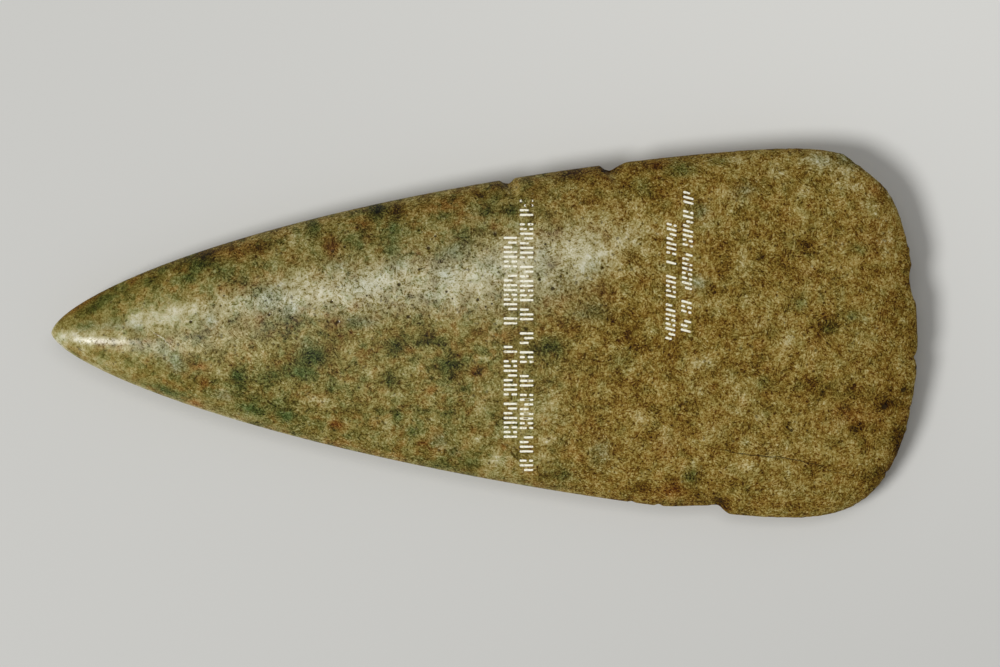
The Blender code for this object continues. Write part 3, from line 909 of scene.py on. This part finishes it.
def makeStrokes(stone):
    bm = bmesh.new()
    bm.from_mesh(stone.data)
    ground = BVHTree.FromBMesh(bm)
    bm.free()
    bm = bmesh.new()
    inset = strokes["bevel"][0] * strokes["width"] * photo["metresPerPixel"]
    rise = strokes["bevel"][1] * strokes["thickness"]
    for middle, direction, length in strokePlan():
        made = bmesh.ops.create_circle(bm, cap_ends=True, segments=strokes["rounding"], radius=0.5)
        half = max(length - strokes["width"], strokes["shortest"]) / 2
        for vertex in made["verts"]:
            x, y = vertex.co.x * strokes["width"], vertex.co.y * strokes["width"]
            x += math.copysign(half, x)
            at = middle + direction * x + Vector((-direction.y, direction.x)) * y
            vertex.co = (*fromPhoto(*at), 0)
        face = made["verts"][0].link_faces[0]
        top = bmesh.ops.extrude_face_region(bm, geom=[face])
        topFace = [item for item in top["geom"] if isinstance(item, bmesh.types.BMFace)]
        bmesh.ops.translate(bm, verts=topFace[0].verts, vec=(0, 0, strokes["thickness"] * 2))
        bmesh.ops.inset_region(bm, faces=topFace, thickness=inset, depth=rise)
    for vertex in bm.verts:
        hit = ground.ray_cast(Vector((vertex.co.x, vertex.co.y, 0.1)), Vector((0, 0, -1)))[0]
        vertex.co.z += hit.z - strokes["thickness"]
    bmesh.ops.recalc_face_normals(bm, faces=bm.faces)
    mesh = bpy.data.meshes.new("painted_strokes")
    bm.to_mesh(mesh)
    bm.free()
    mesh.shade_smooth()
    mesh.set_sharp_from_angle(angle=sharpAngle)
    material, board, shader = newMaterial("cream paint")
    place = board.node("ShaderNodeTexCoord", output="Object")
    spots = {"Vector": place, "Scale": strokes["wearScale"], "Detail": 2.0}
    worn = board.node("ShaderNodeTexNoise", {}, spots).between(*strokes["wearRange"])
    paint, rubbed = (seenAs(*strokes[name], light=stoneFinish["light"]) for name in ("colour", "rubbed"))
    board.mixed(worn, paint, rubbed).into(shader.inputs["Base Color"])
    shader.inputs["Roughness"].default_value = strokes["roughness"]
    shader.inputs["Specular IOR Level"].default_value = strokes["specular"]
    mesh.materials.append(material)
    piece = bpy.data.objects.new("painted_strokes", mesh)
    bpy.context.scene.collection.objects.link(piece)
    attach(piece, "root")
    print("strokes made,", len(mesh.polygons), "faces")


# The table, the light and the camera
table = {
    "size": 16.0,
    "colour": (0.745, 0.742, 0.712),
    "brightness": 0.615,
    # painted light: how much brighter the table is painted toward +X, toward +Y, and toward both, within
    # these half lengths
    "paintedLightFall": (0.10, 0.13, 0.24),
    "reach": (0.16, 0.13),
}


def makeTable():
    bm = bmesh.new()
    bmesh.ops.create_grid(bm, x_segments=1, y_segments=1, size=table["size"] / 2)
    mesh = bpy.data.meshes.new("table")
    bm.to_mesh(mesh)
    bm.free()
    material, board, shader = newMaterial("pale table")
    place = board.node("ShaderNodeTexCoord", output="Object")
    x, y = (board.node("ShaderNodeSeparateXYZ", {}, {"Vector": place}, output=axis) for axis in (0, 1))
    # the table's colour is painted lighter and darker across it, as the light falls
    x = x.between(-table["reach"][0], table["reach"][0]) - 0.5
    y = y.between(-table["reach"][1], table["reach"][1]) - 0.5
    alongX, alongY, both = table["paintedLightFall"]
    shade = x * alongX + y * alongY + x * y * both
    limit = sum(table["paintedLightFall"])
    dim, bright = (tuple(part * change for part in table["colour"]) for change in (1 - limit, 1 + limit))
    colour = board.mixed(shade * (0.5 / limit) + 0.5, (*dim, 1), (*bright, 1))
    colour.into(shader.inputs["Base Color"])
    shader.inputs["Roughness"].default_value = 1.0
    shader.inputs["Specular IOR Level"].default_value = 0.1
    mesh.materials.append(material)
    piece = bpy.data.objects.new("table", mesh)
    bpy.context.scene.collection.objects.link(piece)
    print("table made")


# each lamp's share of the light on the table, where it is, and how long and wide it looks, in degrees
lamps = {
    "key": {"share": 0.60, "zenith": 32.0, "azimuth": 204.0, "distance": 2.6, "width": (20.0, 20.0)},
    "top": {"share": 0.16, "zenith": 14.0, "azimuth": 90.0, "distance": 2.2, "width": (40.0, 18.0)},
    # how bright the room is in a reflection, and how blue what lies past the table is
    "sky": {"share": 0.24, "mirrored": 0.3, "backdropBlue": 0.96},
}


def makeLight():
    light = table["brightness"] / table["colour"][0] * math.pi    # on the table, in watts per square metre
    for name in ("key", "top"):
        lamp = lamps[name]
        data = bpy.data.lights.new(name, "AREA")
        data.shape = "ELLIPSE"
        data.size, data.size_y = (
            2 * lamp["distance"] * math.tan(math.radians(width / 2)) for width in lamp["width"])
        tilt = math.radians(lamp["zenith"])
        turn = math.radians(lamp["azimuth"])
        data.energy = lamp["share"] * light * math.pi * lamp["distance"] ** 2 / math.cos(tilt)
        toward = Vector((math.sin(tilt) * math.cos(turn), math.sin(tilt) * math.sin(turn), math.cos(tilt)))
        piece = bpy.data.objects.new(name, data)
        piece.location = toward * lamp["distance"]
        piece.rotation_euler = toward.to_track_quat("Z", "Y").to_euler()
        piece.visible_camera = False
        bpy.context.scene.collection.objects.link(piece)
    world = bpy.data.worlds.new("studio")
    world.use_nodes = True
    board = Wire(world.node_tree)
    sky = lamps["sky"]["share"] * light / math.pi
    dim = sky * lamps["sky"]["mirrored"]
    seen = table["brightness"]
    seenBlue = seen * lamps["sky"]["backdropBlue"]
    isMirrored = board.node("ShaderNodeLightPath", output="Is Glossy Ray")
    isSeen = board.node("ShaderNodeLightPath", output="Is Camera Ray")
    around = board.mixed(isMirrored, (sky, sky, sky, 1), (dim, dim, dim, 1))
    backdrop = board.mixed(isSeen, around, (seen, seen, seenBlue, 1))
    backdrop.into(world.node_tree.nodes["Background"].inputs["Color"])
    bpy.context.scene.world = world
    print("light made")


# its height over the stone's rim, and the rim's height over the table
camera = {"height": 1.0, "rimHeight": 0.011, "sensor": 36.0}


def makeCamera():
    scene = bpy.context.scene
    data = bpy.data.cameras.new("camera")
    data.sensor_width = camera["sensor"]
    data.lens = camera["sensor"] * camera["height"] / (photo["width"] * photo["metresPerPixel"])
    data.clip_end = 50.0
    piece = bpy.data.objects.new("camera", data)
    x, y = fromPhoto(*photo["pictureCentre"])
    piece.location = (x, y, camera["height"] + camera["rimHeight"])
    scene.collection.objects.link(piece)
    scene.camera = piece
    scene.view_settings.view_transform = "Standard"
    print("camera made")


makeCamera()
stone = makeStone()
makeStrokes(stone)
makeTable()
makeLight()
